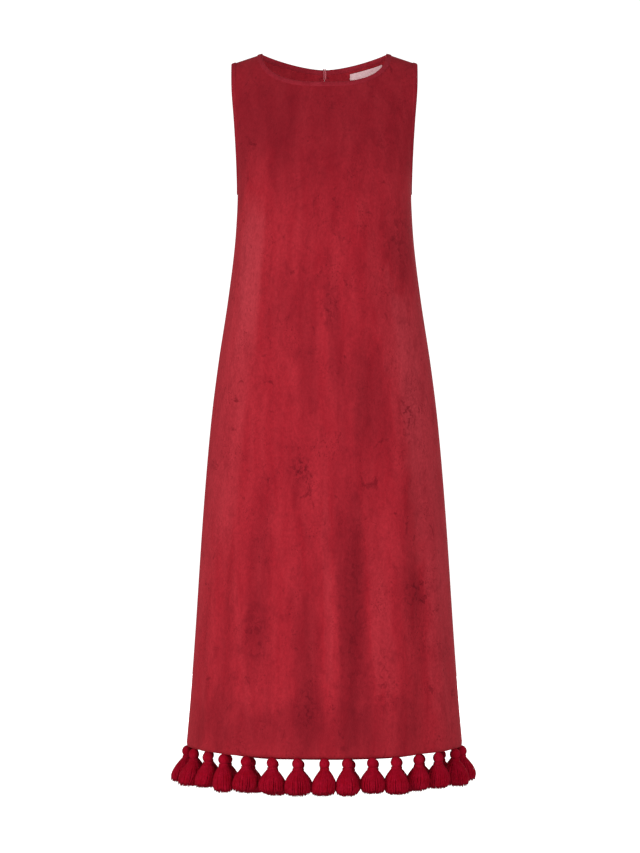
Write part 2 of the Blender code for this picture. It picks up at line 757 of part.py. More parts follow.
def build():
    """Clears the scene and makes the dress."""
    for obj in list(bpy.data.objects):
        bpy.data.objects.remove(obj, do_unlink=True)
    collection = bpy.data.collections.new("tasselled_dress")
    bpy.context.scene.collection.children.link(collection)
    for rows, level in (((0, ARMHOLE_ROWS), "_top"), ((ARMHOLE_ROWS, HEM_ROW), "")):
        panel("front_panel" + level, FRONT, WHOLE, rows, collection)
        panel("back_left" + level, BACK, (-COLUMNS_PER_HALF, 0), rows, collection)
        panel("back_right" + level, BACK, (0, COLUMNS_PER_HALF), rows, collection)
    face = whole_face()
    binding("neck_binding", neck_stops(), False, face, collection)
    binding("armhole_binding_left", armhole_stops(LEFT), True, face, collection)
    binding("armhole_binding_right", armhole_stops(RIGHT), True, face, collection)
    slit_facing("slit_facing_left", LEFT, collection)
    slit_facing("slit_facing_right", RIGHT, collection)
    button("button", collection)
    button_loop("button_loop", collection)
    neck_label("neck_label", collection)
    tassels(collection)


build()
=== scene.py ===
import json
import math

import bmesh
import bpy
from mathutils import Matrix, Vector, noise
from mathutils.bvhtree import BVHTree

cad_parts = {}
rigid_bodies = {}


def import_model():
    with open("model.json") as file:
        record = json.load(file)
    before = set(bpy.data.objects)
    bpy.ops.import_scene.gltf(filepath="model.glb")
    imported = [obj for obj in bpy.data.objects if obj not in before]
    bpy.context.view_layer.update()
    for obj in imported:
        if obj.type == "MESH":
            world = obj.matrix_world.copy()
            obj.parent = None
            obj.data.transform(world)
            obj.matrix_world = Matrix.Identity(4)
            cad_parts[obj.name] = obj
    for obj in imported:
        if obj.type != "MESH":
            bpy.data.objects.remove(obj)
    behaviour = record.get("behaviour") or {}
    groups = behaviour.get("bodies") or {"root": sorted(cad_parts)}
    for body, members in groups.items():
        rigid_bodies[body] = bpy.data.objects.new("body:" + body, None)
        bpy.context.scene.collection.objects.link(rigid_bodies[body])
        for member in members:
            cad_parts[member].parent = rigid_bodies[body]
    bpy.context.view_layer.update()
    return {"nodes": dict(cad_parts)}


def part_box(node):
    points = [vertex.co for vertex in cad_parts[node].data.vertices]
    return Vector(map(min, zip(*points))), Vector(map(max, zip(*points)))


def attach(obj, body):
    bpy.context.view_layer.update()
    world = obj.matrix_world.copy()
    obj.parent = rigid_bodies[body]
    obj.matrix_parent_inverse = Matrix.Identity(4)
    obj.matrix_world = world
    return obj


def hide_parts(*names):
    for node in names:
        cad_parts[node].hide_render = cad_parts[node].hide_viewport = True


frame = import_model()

mm = 0.001  # the shape functions work in millimetres, as a pattern cutter does
front, back = -1, 1  # the sign of y on each side
weld = 0.0005  # mm; corners nearer to each other than this become one
print("frame loaded:", len(frame["nodes"]), "nodes")


def tableOf(columns, rows):
    return [dict(zip(columns.split(), row)) for row in rows]


# The dress's form, the same cut as the solids

cut = {
    "neckHalfWidth": 104.0,
    "neckPoint": 10.4,
    "shoulderHalfWidth": 152.5,
    "shoulderTip": -5.9,
    "ridgeRounding": 50.0,
    "frontNeck": -41.9,
    "frontNeckPower": 2.9,
    "backNeck": -12.0,
    "backNeckPower": 1.6,
    "frontShoulderCurve": 7.8,
    "backShoulderCurve": 7.1,
    "sharpness": 10,
    "underarm": -213.0,
    "frontArmhole": 46.0,
    "backArmhole": 48.0,
    "sideHem": -1129.0,
    "frontHem": -1138.0,
    "backHem": -1165.0,
    "hemPower": 3,
    "wall": 2.2,
    "seamGap": 0.3,
    "slitLength": 125.0,
    "slitHalfGap": 0.05,
    "slitTurn": math.radians(130),
    "columns": 16,
    "neckColumns": 8,
    "neckCrowding": 1.8,
}
armholeMiddle = (cut["shoulderTip"] + cut["underarm"]) / 2
armholeReach = (cut["shoulderTip"] - cut["underarm"]) / 2

# depth below the shoulders, half breadth, furthest front and back, squareness of the curve
sections = tableOf("drop breadth front back square", [
    (0, 152.5, 134, 105, 2.6),
    (50, 151.6, 134, 105, 2.9),
    (100, 148.0, 135, 104, 3.0),
    (150, 145.0, 135, 103, 2.9),
    (205, 143.2, 135, 101, 2.7),
    (245, 143.8, 134, 99, 2.5),
    (310, 148.3, 132, 97, 2.35),
    (400, 159.7, 130, 97, 2.25),
    (500, 175.0, 129, 103, 2.2),
    (600, 187.4, 129, 111, 2.15),
    (750, 200.2, 131, 117, 2.1),
    (950, 213.5, 136, 123, 2.1),
    (1060, 221.6, 140, 126, 2.1),
    (1130, 227.7, 142, 128, 2.1),
    (1170, 230.5, 143, 129, 2.1),
])

# side, first and last depth, bearing at each in degrees to the viewer's right, half width, rise
folds = tableOf("side from to a b wide rise", [
    (front, 520, 1300, -42, -39, 26, 5.0),
    (front, 580, 1300, -29, -26, 22, -4.0),
    (front, 780, 1300, -13, -11, 18, 4.0),
    (front, 760, 1300, -4, -3, 16, -3.0),
    (front, 330, 1300, 19, 3.5, 20, 4.5),
    (front, 640, 1300, 18, 12, 20, -4.0),
    (front, 480, 1300, 43, 29, 28, 5.0),
    (front, 560, 1300, 54, 42, 20, -4.0),
    (front, 330, 720, -18, -13, 17, 2.5),
    (front, 700, 1300, 62, 58, 20, 3.0),
    (front, 700, 1300, -60, -58, 20, 3.0),
    (back, 430, 1300, -38, -45, 26, 5.0),
    (back, 520, 1300, -24, -28, 22, -4.5),
    (back, 360, 1300, -9, -13, 20, 4.5),
    (back, 600, 1300, 3, 3, 20, -4.0),
    (back, 450, 1300, 15, 19, 22, 5.0),
    (back, 640, 1300, 31, 33, 22, -4.0),
    (back, 500, 1300, 44, 50, 26, 5.0),
])
foldRamp = 260.0  # mm over which a fold grows and fades
foldSides = (66, 84)  # degrees from the middle of a side, between which the folds fade out

# Smaller creases that only the cloth's face shows: side, centre in x and height, half width across and half
# length down, lean in degrees, rise
creases = tableOf("side x z wide long lean rise", [
    (front, 62, -300, 9, 120, 9, 1.3),
    (front, -48, -430, 8, 110, -3, 1.2),
    (front, -112, -260, 10, 70, -16, 1.1),
    (front, 116, -240, 9, 60, 18, 1.1),
    (front, 8, -760, 7, 170, 2, -1.4),
    (front, -75, -900, 8, 150, -2, 1.3),
    (front, 96, -860, 8, 140, 4, -1.5),
    (front, 150, -1000, 9, 110, 3, 1.4),
    (front, -160, -720, 8, 160, -6, 1.2),
    (front, 30, -1040, 7, 90, 1, -1.6),
    (back, -60, -310, 9, 110, -8, 1.3),
    (back, 70, -420, 9, 130, 6, 1.3),
    (back, 20, -700, 8, 160, 0, 1.4),
    (back, -110, -880, 8, 150, -4, -1.4),
    (back, 120, -940, 8, 120, 5, 1.4),
    (back, -20, -1020, 7, 100, -1, -1.4),
])
creaseTaper = 1.6

# The soft unevenness of a heavy pile cloth, in two sizes, in mm
unevenness = tableOf("rise wide long seed", [(1.5, 38, 120, 7.0), (0.35, 15, 34, 3.0)])
calmSides = (62, 86)  # degrees from the middle of a side, between which it fades out
calmTop = (10, 90)  # mm below the shoulder ridge, between which it sets in

# Where the pile was brushed, and where shade and light are painted: darker across the top, at the hem and in
# bands beside the folds, lighter in bands down the sides; centre, half width, half length, lean in degrees
# and tone, darker below 0
napsAndShade = tableOf("side x z wide long lean tone", [
    (front, 0, -85, 190, 120, 0, -0.42),
    (front, -100, -150, 56, 110, -3, -0.2),
    (front, -158, -620, 26, 420, -6, 0.18),
    (front, 162, -660, 27, 420, 6, 0.26),
    (front, 118, -500, 30, 140, 8, 0.12),
    (front, -106, -850, 18, 130, -3, -0.3),
    (front, -45, -680, 22, 40, 4, -0.2),
    (front, -66, -410, 30, 70, -8, -0.22),
    (front, 44, -900, 25, 200, 3, -0.5),
    (front, -28, -985, 24, 120, 1, -0.38),
    (front, 70, -560, 34, 90, 9, -0.34),
    (front, 20, -500, 11, 150, 5, -0.3),
    (front, 5, -890, 8, 210, 1, 0.12),
    (front, -112, -955, 27, 60, 2, -0.2),
    (front, -26, -480, 15, 130, 1, -0.26),
    (front, 92, -960, 20, 170, 4, 0.12),
    (front, 146, -875, 24, 60, 8, -0.22),
    (front, 128, -330, 26, 70, 10, -0.34),
    (front, -118, -330, 18, 150, -4, 0.3),
    (front, -16, -240, 46, 60, 0, -0.1),
    (front, 60, -1095, 95, 50, 0, -0.36),
    (front, -120, -1095, 100, 46, 0, -0.36),
    (front, -178, -960, 30, 180, -3, -0.14),
    (back, 0, -120, 180, 120, 0, -0.3),
    (back, -95, -700, 24, 260, -4, -0.4),
    (back, 60, -820, 26, 220, 3, -0.4),
    (back, 150, -640, 26, 330, 6, 0.35),
    (back, -20, -520, 24, 120, 0, 0.3),
    (back, 20, -1060, 80, 60, 0, -0.25),
])

# Where tufts were pinched or crushed into dark specks: centre, half width, half length, share of them
crushes = tableOf("side x z wide long share", [
    (front, 150, -878, 24, 34, 0.9),
    (front, -38, -672, 18, 20, 0.9),
    (front, 134, -590, 14, 40, 0.7),
    (front, 8, -408, 16, 30, 0.7),
    (front, 44, -900, 26, 150, 0.5),
    (front, -30, -1060, 22, 40, 0.8),
    (front, -112, -940, 28, 50, 0.5),
    (front, 118, -300, 26, 60, 0.5),
    (front, 96, -140, 18, 24, 0.5),
    (front, 96, -1020, 18, 60, 0.5),
    (back, -70, -620, 24, 34, 0.9),
    (back, 96, -860, 22, 60, 0.8),
    (back, -120, -930, 20, 60, 0.6),
    (back, 40, -430, 20, 40, 0.6),
    (back, -30, -1040, 26, 40, 0.7),
    (back, 110, -260, 22, 40, 0.5),
])

# How the patches end, brushed, crushed, painted shade and painted light alike
patchEdge = {
    "fray": 5,          # mm that a brushed edge wanders across
    "frayWide": 12,     # mm across one such wander
    "frayLong": 26,     # mm down it
    "fraySeed": 9,      # sets the patches' edges apart
    "frayDown": 7,      # times as far down as across
    "acrossPower": 6,   # crisp at the sides
    "downPower": 3,     # softer at the ends
    "crushPower": 1.4,
}


def crushShare(side, x, height):
    share = 0.0
    for c in crushes:
        if c["side"] == side:
            across, down = (x - c["x"]) / c["wide"], (height - c["z"]) / c["long"]
            fade = math.exp(-(across * across + down * down) ** patchEdge["crushPower"])
            share = max(share, c["share"] * fade)
    return share


def leaningPlace(patch, dx, dz):
    # shares of the patch's half width and half length, measured along its lean
    lean = math.radians(patch["lean"])
    across = (dx * math.cos(lean) + dz * math.sin(lean)) / patch["wide"]
    down = (dz * math.cos(lean) - dx * math.sin(lean)) / patch["long"]
    return across, down


# Brushed tone plus painted shade (below 0) and painted light (above 0) at a point
def napAndShadeTone(side, x, height):
    tone = 0.0
    for n in napsAndShade:
        if n["side"] != side:
            continue
        apart = n["x"] / patchEdge["fraySeed"]
        spot = Vector((x / patchEdge["frayWide"], height / patchEdge["frayLong"], apart))
        ragged = patchEdge["fray"] * noise.noise(spot)
        dx, dz = x - n["x"] + ragged, height - n["z"] + patchEdge["frayDown"] * ragged
        across, down = leaningPlace(n, dx, dz)
        fade = -across ** patchEdge["acrossPower"] - abs(down) ** patchEdge["downPower"]
        tone += n["tone"] * math.exp(fade)
    return tone


def sectionValue(name, drop):
    drop = min(max(drop, sections[0]["drop"]), sections[-1]["drop"])
    k = 0
    while k < len(sections) - 2 and drop > sections[k + 1]["drop"]:
        k += 1

    def slope(i):
        low, high = sections[max(i - 1, 0)], sections[min(i + 1, len(sections) - 1)]
        return (high[name] - low[name]) / (high["drop"] - low["drop"])

    span = sections[k + 1]["drop"] - sections[k]["drop"]
    u = (drop - sections[k]["drop"]) / span
    ends = sections[k][name] * (1 - 3 * u * u + 2 * u ** 3)
    ends += sections[k + 1][name] * (3 * u * u - 2 * u ** 3)
    return ends + span * (slope(k) * (u - 2 * u * u + u ** 3) + slope(k + 1) * (u ** 3 - u * u))


def smoothStep(low, high, value):
    u = min(max((value - low) / (high - low), 0.0), 1.0)
    return u * u * (3 - 2 * u)


def ridgeHeight(x):
    neck = math.hypot(cut["neckHalfWidth"], cut["ridgeRounding"])
    tip = math.hypot(cut["shoulderHalfWidth"], cut["ridgeRounding"])
    slope = (cut["neckPoint"] - cut["shoulderTip"]) / (tip - neck)
    return cut["neckPoint"] + slope * (neck - math.hypot(x, cut["ridgeRounding"]))


def fullDepth(side, x, height):
    curve = cut["frontShoulderCurve"] if side == front else cut["backShoulderCurve"]
    shoulder = max(curve * math.sqrt(max(ridgeHeight(x) - height, 0.0)), 1e-6)
    body = sectionValue("front" if side == front else "back", -height)
    power = cut["sharpness"]
    return (shoulder ** -power + body ** -power) ** (-1 / power)


def edgeShare(side, height):
    height = min(height, cut["shoulderTip"] - 0.5)
    if height <= cut["underarm"]:
        return 0.0
    depth = cut["frontArmhole"] if side == front else cut["backArmhole"]
    oval = depth * math.sqrt(max(1 - ((height - armholeMiddle) / armholeReach) ** 2, 0.0))
    return min(oval / fullDepth(side, sectionValue("breadth", -height), height), 0.97)


def foldRise(side, angle, drop, breadth):
    rise = 0.0
    for f in folds:
        if f["side"] != side or drop < f["from"]:
            continue
        along = min((drop - f["from"]) / (f["to"] - f["from"]), 1.0)
        away = math.radians(angle - f["a"] - (f["b"] - f["a"]) * along) * breadth / f["wide"]
        grown = smoothStep(f["from"], f["from"] + foldRamp, drop)
        fading = 1 - smoothStep(f["to"] - foldRamp, f["to"], drop)
        rise += f["rise"] * grown * fading * math.exp(-away * away)
    return rise * (1 - smoothStep(*foldSides, abs(angle)))


def creaseRise(side, x, height):
    rise = 0.0
    for c in creases:
        if c["side"] != side:
            continue
        across, down = leaningPlace(c, x - c["x"], height - c["z"])
        rise += c["rise"] * math.exp(-across * across - down * down * creaseTaper)
    return rise


def skin(side, share, height, fine=False):
    half = sectionValue("breadth", -height)
    power = sectionValue("square", -height)
    x = share * half
    depth = fullDepth(side, x, height)
    kept = edgeShare(side, height) ** power
    y = depth * max(1 - (1 - kept) * abs(share) ** power, 0.0) ** (1 / power)
    angle = math.degrees(math.asin(max(min(share, 1.0), -1.0)))
    rise = foldRise(side, angle, -height, half)
    if fine:  # creases and unevenness, fading at seams and edges
        loose = (1 - smoothStep(*calmSides, abs(angle))) * smoothStep(*calmTop, ridgeHeight(x) - height)
        small = creaseRise(side, x, height)
        for u in unevenness:
            small += u["rise"] * noise.noise(Vector((x / u["wide"], side * u["seed"], height / u["long"])))
        rise += loose * small
    out = Vector((share / half, math.cos(math.radians(angle)) / max(depth, 1.0), 0)).normalized()
    return Vector((x + out.x * rise, side * (y + out.y * rise), height))


def neckHeight(side, x):
    across = min(abs(x) / cut["neckHalfWidth"], 1.0)
    if side == front:
        return cut["neckPoint"] + (cut["frontNeck"] - cut["neckPoint"]) * math.sqrt(
            1 - across ** cut["frontNeckPower"])
    return cut["neckPoint"] + (cut["backNeck"] - cut["neckPoint"]) * (1 - across ** cut["backNeckPower"])


def topX(column):
    size = abs(column)
    if size <= cut["neckColumns"]:
        left = (1 - size / cut["neckColumns"]) ** cut["neckCrowding"]
        return math.copysign(cut["neckHalfWidth"] * math.sin(math.pi / 2 * (1 - left)), column)
    along = (size - cut["neckColumns"]) / (cut["columns"] - cut["neckColumns"])
    x = cut["neckHalfWidth"] + (cut["shoulderHalfWidth"] - cut["neckHalfWidth"]) * along
    return math.copysign(x, column)


def panelPoint(side, column, fall, fine=False):
    x = topX(column)
    top = neckHeight(side, x) if abs(column) < cut["neckColumns"] else ridgeHeight(x)
    low = math.sin(math.pi / 2 * column / cut["columns"])
    centre = cut["frontHem"] if side == front else cut["backHem"]
    bottom = cut["sideHem"] + (centre - cut["sideHem"]) * (1 - abs(low) ** cut["hemPower"])
    sideHeight = cut["shoulderTip"] + (cut["sideHem"] - cut["shoulderTip"]) * fall
    gather = edgeShare(side, sideHeight) / edgeShare(side, cut["shoulderTip"])
    share = low * (1 - gather) + x / cut["shoulderHalfWidth"] * gather
    return skin(side, share, top + (bottom - top) * fall, fine)


def skinAt(side, x, height):
    return skin(side, x / sectionValue("breadth", -height), height)


def skinNormal(side, x, height):
    step = 0.5
    across = skinAt(side, x + step, height) - skinAt(side, x - step, height)
    up = skinAt(side, x, height + step) - skinAt(side, x, height - step)
    return across.cross(up).normalized() * -side


def slitHalfGap(height):
    above = height - (cut["backNeck"] - cut["slitLength"])
    if above <= 0:
        return cut["seamGap"] / 2
    return cut["seamGap"] / 2 + (cut["slitHalfGap"] - cut["seamGap"] / 2) * math.sin(
        cut["slitTurn"] * min(above / cut["slitLength"], 1.0))


# Colours and materials


def linear(hexColour, alpha=1.0):
    parts = [int(hexColour[i:i + 2], 16) / 255 for i in (0, 2, 4)]
    return (*[c / 12.92 if c <= 0.04045 else ((c + 0.055) / 1.055) ** 2.4 for c in parts], alpha)


def newMaterial(name):
    mat = bpy.data.materials.new(name)
    mat.use_nodes = True
    return mat, mat.node_tree.nodes["Principled BSDF"]


def addNode(mat, kind, settings, output=0):
    # settings: property, input name or input number to a value, a hex colour or the output that feeds it
    node = mat.node_tree.nodes.new(kind)
    for key, value in settings.items():
        if isinstance(key, str) and hasattr(node, key):
            setattr(node, key, value)
        elif isinstance(value, bpy.types.NodeSocket):
            mat.node_tree.links.new(value, node.inputs[key])
        else:
            node.inputs[key].default_value = linear(value) if isinstance(value, str) else value
    return node.outputs[output]


def noiseTone(mat, across, down, settings, low=0.3, high=0.7, most=1.0):
    # noise with one unit so many millimetres across and down: its tone from 0 to most, and its bare height
    coords = addNode(mat, "ShaderNodeTexCoord", {}, "Object")
    scale = (1 / (across * mm), 1 / (across * mm), 1 / (down * mm))
    place = addNode(mat, "ShaderNodeMapping", {"Scale": scale, "Vector": coords}, "Vector")
    grain = addNode(mat, "ShaderNodeTexNoise", {"Scale": 1.0, "Vector": place, **settings}, "Fac")
    spread = {"Value": grain, "From Min": low, "From Max": high, "To Max": most}
    return addNode(mat, "ShaderNodeMapRange", spread, "Result"), grain


def layered(mat, base, coats):
    # each coat's factor lays its colour over what is under it; a coat is a factor and a hex colour
    for factor, colour in coats:
        base = addNode(mat, "ShaderNodeMix", {"data_type": "RGBA", 0: factor, 6: base, 7: colour}, 2)
    return base


def finishShader(mat, shader, colour, reliefs, settings):
    # reliefs: height, depth in mm and strength, from the finest up
    mat.node_tree.links.new(colour, shader.inputs["Base Color"])
    lie = {}
    for height, depth, strength in reliefs:
        relief = {"Strength": strength, "Distance": depth * mm, "Height": height, **lie}
        lie = {"Normal": addNode(mat, "ShaderNodeBump", relief, "Normal")}
    mat.node_tree.links.new(lie["Normal"], shader.inputs["Normal"])
    for key, value in settings.items():
        shader.inputs[key].default_value = linear(value) if isinstance(value, str) else value
    return mat


# Cut-pile towelling: the pile scatters light softly, glows at grazing angles, and keeps every stroke
velour = {
    "deep": "6E0A19",
    "mid": "AA1D2B",
    "high": "BC2C38",
    # painted light, laid over the towelling where the napAndShade value is above 0
    "glow": "D8505A",
    "pile": 1.3,          # mm between tufts, coarser than real so that it shows
    "fleck": 4.0,         # mm, mottling where tufts lean together
    "strokeWide": 26.0,   # mm across a brushed stroke
    "strokeLong": 130.0,  # mm down it
    "cloud": 17.0,        # mm across uneven lie
    "speck": 2.6,         # mm across a pinched tuft
    "crush": 34.0,        # mm across a crushed patch
    "pinch": 8.0,         # mm across a cluster of flattened tufts
    "lie": 1.1,           # mm of relief in the mottling
}


def makeVelour(name, tint, pileMm, withNapAndShade=False):
    mat, shader = newMaterial(name)
    deep = tint["deep"]
    strokeTone, _ = noiseTone(mat, tint["strokeWide"], tint["strokeLong"],
                              {"Detail": 4.0, "Roughness": 0.6, "Distortion": 0.5})
    fleckTone, fleckHeight = noiseTone(mat, tint["fleck"], tint["fleck"] * 1.4,
                                       {"Detail": 4.0, "Roughness": 0.65}, most=0.36)
    _, tuftHeight = noiseTone(mat, tint["pile"], tint["pile"], {"Detail": 2.0, "Roughness": 0.6})
    crushTone, _ = noiseTone(mat, tint["crush"] * 0.7, tint["crush"],
                             {"Detail": 6.0, "Roughness": 0.75, "Distortion": 0.8},
                             low=0.60, high=0.68, most=0.6)
    cloudTone, _ = noiseTone(mat, tint["cloud"], tint["cloud"] * 1.8,
                             {"Detail": 5.0, "Roughness": 0.65}, low=0.50, high=0.75, most=0.35)
    whereTone, _ = noiseTone(mat, tint["crush"], tint["crush"] * 1.5,
                             {"Detail": 2.0}, low=0.52, high=0.66)
    speckTone, _ = noiseTone(mat, tint["speck"], tint["speck"] * 1.3,
                             {"Detail": 4.0, "Roughness": 0.7}, low=0.56, high=0.66, most=0.8)
    specks = addNode(mat, "ShaderNodeMath", {"operation": "MULTIPLY", 0: whereTone, 1: speckTone})
    coats = [(cloudTone, deep), (specks, deep)]
    # The napAndShade attribute mixes brushed tones with painted shade, in the deep colour where it is below
    # 0, and painted light, in the glow colour where it is above 0
    if withNapAndShade:  # the cloth's own attributes say where it was brushed and crushed
        napAndShade = addNode(mat, "ShaderNodeAttribute", {"attribute_name": "napAndShade"}, "Fac")
        darker, lighter = [addNode(mat, "ShaderNodeMath", {
            "operation": "MULTIPLY", "use_clamp": True, 0: napAndShade, 1: sign}) for sign in (-1.0, 1.0)]
        crush = addNode(mat, "ShaderNodeAttribute", {"attribute_name": "crush"}, "Fac")
        pinchTone, _ = noiseTone(mat, tint["pinch"], tint["pinch"] * 1.2,
                                 {"Detail": 4.0, "Roughness": 0.65, "Distortion": 0.6},
                                 low=0.50, high=0.62)
        pinched = addNode(mat, "ShaderNodeMath", {"operation": "MULTIPLY", 0: crush, 1: pinchTone})
        coats = [(darker, deep), (lighter, tint["glow"])] + coats + [(pinched, deep)]
    coats += [(fleckTone, deep), (crushTone, deep)]
    colour = layered(mat, tint["mid"], [(strokeTone, tint["high"])] + coats)
    return finishShader(mat, shader, colour, [(tuftHeight, pileMm, 0.45), (fleckHeight, tint["lie"], 0.5)], {
        "Roughness": 0.92,
        "Specular IOR Level": 0.15,
        "Sheen Weight": 0.28,
        "Sheen Roughness": 0.45,
        "Sheen Tint": "D05058",
    })


# Soft cotton yarn: twisted plies catch a line of light along each strand
yarn = {"deep": "60000F", "mid": "A0031C", "high": "B00E2C", "ply": 1.1, "patch": 9.0}


def makeYarn(name, tint):
    mat, shader = newMaterial(name)
    plyTone, plyHeight = noiseTone(mat, tint["ply"], tint["ply"] * 4, {"Detail": 2.0},
                                   low=0.35, high=0.75, most=0.6)
    patchTone, _ = noiseTone(mat, tint["patch"], tint["patch"], {"Detail": 3.0})
    colour = layered(mat, tint["mid"], [(patchTone, tint["high"]), (plyTone, tint["deep"])])
    return finishShader(mat, shader, colour, [(plyHeight, 0.4, 0.5)], {
        "Roughness": 0.85,
        "Specular IOR Level": 0.06,
        "Sheen Weight": 0.06,
        "Sheen Roughness": 0.4,
        "Sheen Tint": "C02040",
    })


# Woven ribbon: fine ribs across, a little gloss from the satin floats
# Painted light: its pinkish white is lighter than the ribbon, to make up for the shade inside the neck
ribbon = {"light": "FFDDE0", "dark": "F0B9C0", "rib": 0.6}


def makeRibbon(name):
    mat, shader = newMaterial(name)
    ribTone, ribHeight = noiseTone(mat, ribbon["rib"] * 8, ribbon["rib"], {"Detail": 1.0})
    colour = layered(mat, ribbon["light"], [(ribTone, ribbon["dark"])])
    return finishShader(mat, shader, colour, [(ribHeight, 0.2, 0.4)], {"Roughness": 0.5})


# Cast polyester button: dyed through, polished, with a faint pearly cloud
buttonFinish = {"deep": "A8505F", "light": "C9808C", "cloud": 3.0}


def makePolyester(name):
    mat, shader = newMaterial(name)
    cloudTone, cloudHeight = noiseTone(mat, buttonFinish["cloud"], buttonFinish["cloud"],
                                       {"Detail": 3.0, "Distortion": 1.0})
    colour = layered(mat, buttonFinish["deep"], [(cloudTone, buttonFinish["light"])])
    return finishShader(mat, shader, colour, [(cloudHeight, 0.05, 0.2)], {"Roughness": 0.28})


velourMat = makeVelour("cutPileTowelling", velour, 0.5, True)
# Painted shade: the armhole strips and slit facings are a darker copy of the towelling, to damp the sheen
# their rounded edge catches
shadedBindingMat = makeVelour("towellingBiasStripShaded", {
    **velour, "mid": "981A28", "high": "A62432", "strokeLong": 40.0}, 0.35)
# Partly painted shade, partly painted highlight: the neck strip is darker than the towelling but a little
# lighter than the armhole strips, for the light along the neck edge
shadedNeckStripMat = makeVelour("towellingNeckStripShaded", {
    **velour, "mid": "9A1E2C", "high": "A82C3A", "strokeLong": 40.0}, 0.35)
yarnMat = makeYarn("softCottonYarn", yarn)
lightenedRibbonMat = makeRibbon("wovenRibbon")
buttonMat = makePolyester("castPolyester")
# Painted light: the cord's pink is raised lighter than the cord, to make up for the shade it hangs in at the
# slit
lightenedCordMat = makeYarn("satinCord", {
    "deep": "B04454", "mid": "DC6674", "high": "EC909A", "ply": 0.7, "patch": 3.0})
threadMat = makeYarn("polyesterThread", {
    "deep": "7A1220", "mid": "A02634", "high": "B03A46", "ply": 0.3, "patch": 5.0})
print("materials made")


# Mesh helpers


def gridMesh(across, up):
    bm = bmesh.new()
    bmesh.ops.create_grid(bm, x_segments=across, y_segments=up, size=1)
    places = {v: (round((v.co.x + 1) / 2 * across), round((v.co.y + 1) / 2 * up)) for v in bm.verts}
    return bm, places


def makePiece(bm, name, mat, nodes=(), recalc=True):
    bmesh.ops.remove_doubles(bm, verts=bm.verts, dist=weld)
    if recalc:
        bmesh.ops.recalc_face_normals(bm, faces=bm.faces)
    elif bm.calc_volume(signed=True) < 0:
        bmesh.ops.reverse_faces(bm, faces=bm.faces)
    bmesh.ops.scale(bm, vec=Vector((mm, mm, mm)), verts=bm.verts)
    mesh = bpy.data.meshes.new(name)
    bm.to_mesh(mesh)
    bm.free()
    mesh.shade_smooth()
    mesh.materials.append(mat)
    obj = bpy.data.objects.new(name, mesh)
    bpy.context.scene.collection.objects.link(obj)
    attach(obj, "root")
    if nodes:
        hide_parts(*nodes)
    return obj


# Cloth panels: the open face in fine rows, then a wall with a turned-up hem

cloth = {
    "acrossPerColumn": 4,
    "armholeRows": 34,
    "skirtRows": 110,
    "hemCrowding": 1.08,  # rows lie closer towards the hem
    "hemEnds": (33, 36),  # mm above the panel's lowest point, between which the turned-up hem ends level
    "hemCloth": 1.6,      # what the turned-up hem adds inside
    "edgeRound": 1.2,     # how far the hem's fold rounds in
}


def rowFall(row):
    length = cut["shoulderTip"] - cut["sideHem"]
    armhole = cut["shoulderTip"] - cut["underarm"]
    if row <= cloth["armholeRows"]:
        u = row / cloth["armholeRows"]
        return armhole * (0.5 * u + 0.25 * (1 - math.cos(math.pi * u))) / length
    share = (row - cloth["armholeRows"]) / cloth["skirtRows"]
    return (armhole + (length - armhole) * (1 - (1 - share) ** cloth["hemCrowding"])) / length


def makePanel(name, side, first, last, nodes):
    across = (last - first) * cloth["acrossPerColumn"]
    up = cloth["armholeRows"] + cloth["skirtRows"]
    bm, places = gridMesh(across, up)
    for v, (i, j) in places.items():
        v.co = panelPoint(side, first + i / cloth["acrossPerColumn"], rowFall(up - j), True)
    bm.normal_update()
    bm.faces.ensure_lookup_table()
    if bm.faces[len(bm.faces) // 2].normal.y * side < 0:
        bmesh.ops.reverse_faces(bm, faces=bm.faces)
        bm.normal_update()
    inner = {}
    hemline = min(v.co.z for v in bm.verts)
    for v, (i, j) in places.items():
        above = v.co.z - hemline
        turned = 1 - smoothStep(*cloth["hemEnds"], above)
        inner[v.co.to_tuple(4)] = v.co - v.normal * (cut["wall"] + cloth["hemCloth"] * turned)
    rims = [(v, v.normal.copy()) for v, (i, j) in places.items() if j == 0]
    made = bmesh.ops.extrude_face_region(bm, geom=bm.faces[:])["geom"]
    for v in made:
        if isinstance(v, bmesh.types.BMVert):
            v.co = inner[v.co.to_tuple(4)]
    for v, normal in rims:
        v.co -= normal * cloth["edgeRound"]
    half = 1 if first >= 0 else -1
    for v in bm.verts:
        v.co.y = side * max(v.co.y * side, cut["seamGap"] / 2)
        if side == back:
            v.co.x = half * max(v.co.x * half, slitHalfGap(v.co.z))
    obj = makePiece(bm, name, velourMat, nodes, False)
    # Each vertex keeps its brushed tone with the painted shade and light, and its crushed share
    for attribute, worth in (("napAndShade", napAndShadeTone), ("crush", crushShare)):
        values = obj.data.attributes.new(attribute, "FLOAT", "POINT").data
        for v, value in zip(obj.data.vertices, values):
            value.value = worth(side, v.co.x / mm, v.co.z / mm)
    return obj


sideSeam = cut["columns"]
frontCloth = makePanel("clothFront", front, -sideSeam, sideSeam, ["front_panel", "front_panel_top"])
backLeftCloth = makePanel("clothBackLeft", back, -sideSeam, 0, ["back_left", "back_left_top"])
backRightCloth = makePanel("clothBackRight", back, 0, sideSeam, ["back_right", "back_right_top"])
print("cloth panels made")


# Bindings: a plump folded strip that hugs the edge, with a row of stitches

